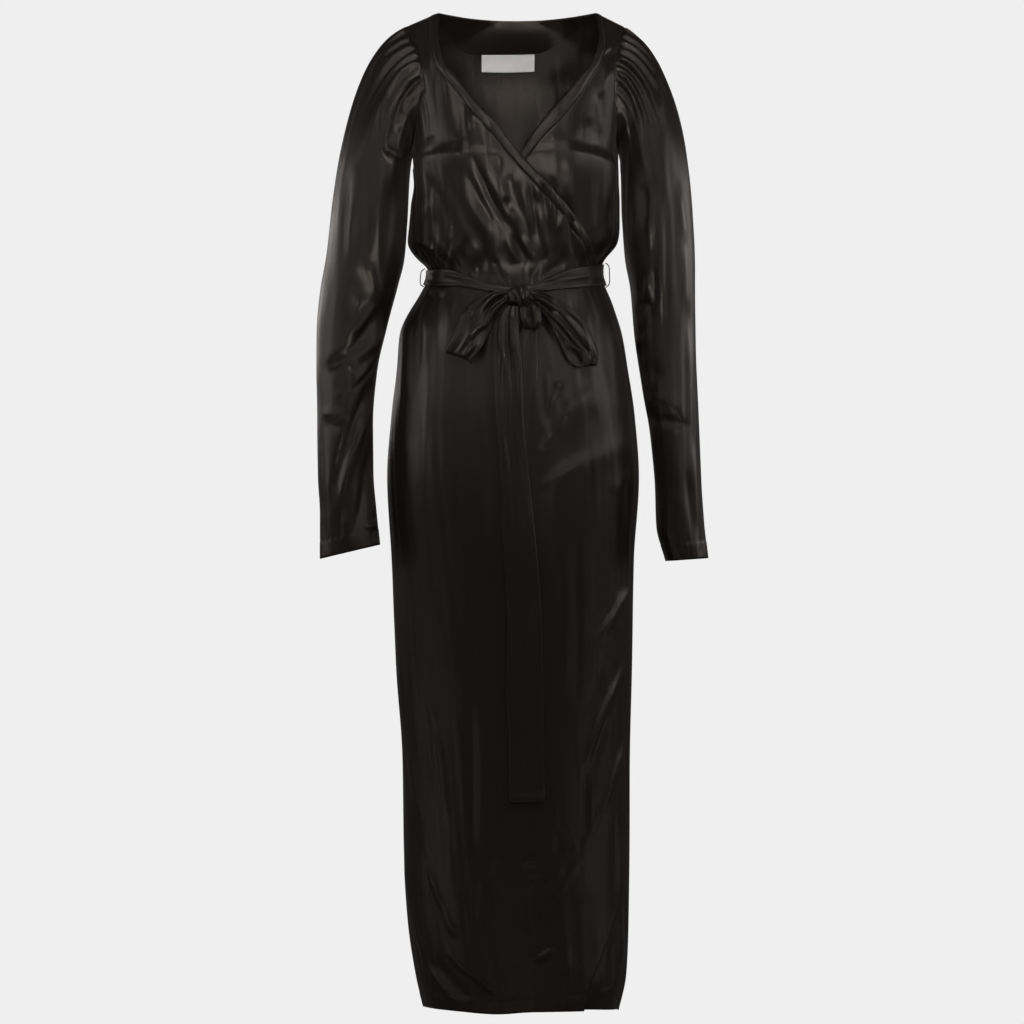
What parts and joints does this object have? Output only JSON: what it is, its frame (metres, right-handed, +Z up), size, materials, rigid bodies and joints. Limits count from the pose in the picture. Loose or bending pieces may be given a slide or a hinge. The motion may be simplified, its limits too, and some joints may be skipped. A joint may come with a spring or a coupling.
{
  "type": "wrap dress",
  "caption": "Long-sleeved maxi wrap dress in dark satin with a crossed V neck, gathered sleeve heads and a belt tied in a bow, filled out as when it is worn.",
  "frame": {"origin": "where the wearer's shoulders hold the dress, midway between the shoulder seams and level with them", "axes": "+Z up along the body, the front faces -Y, +X is the wearer's left"},
  "size_m": [0.5562, 0.2498, 1.4163],
  "materials": {
    "satin": "near-black satin with a soft liquid sheen",
    "label_white": "white woven tape, left bare"
  },
  "bodies": {
    "root": {"bodice_front_over": "satin", "neck_band_over": "satin", "bodice_front_under": "satin", "neck_band_under": "satin", "bodice_back": "satin", "back_neck_facing": "satin", "label": "label_white", "sleeve_right": "satin", "sleeve_left": "satin", "skirt_front_over": "satin", "skirt_front_under": "satin", "skirt_back": "satin", "belt": "satin", "belt_knot": "satin", "bow_loop_right": "satin", "bow_loop_left": "satin", "belt_tail_front": "satin", "belt_tail_back": "satin", "belt_loop_right": "satin", "belt_loop_left": "satin"}
  },
  "joints": []
}
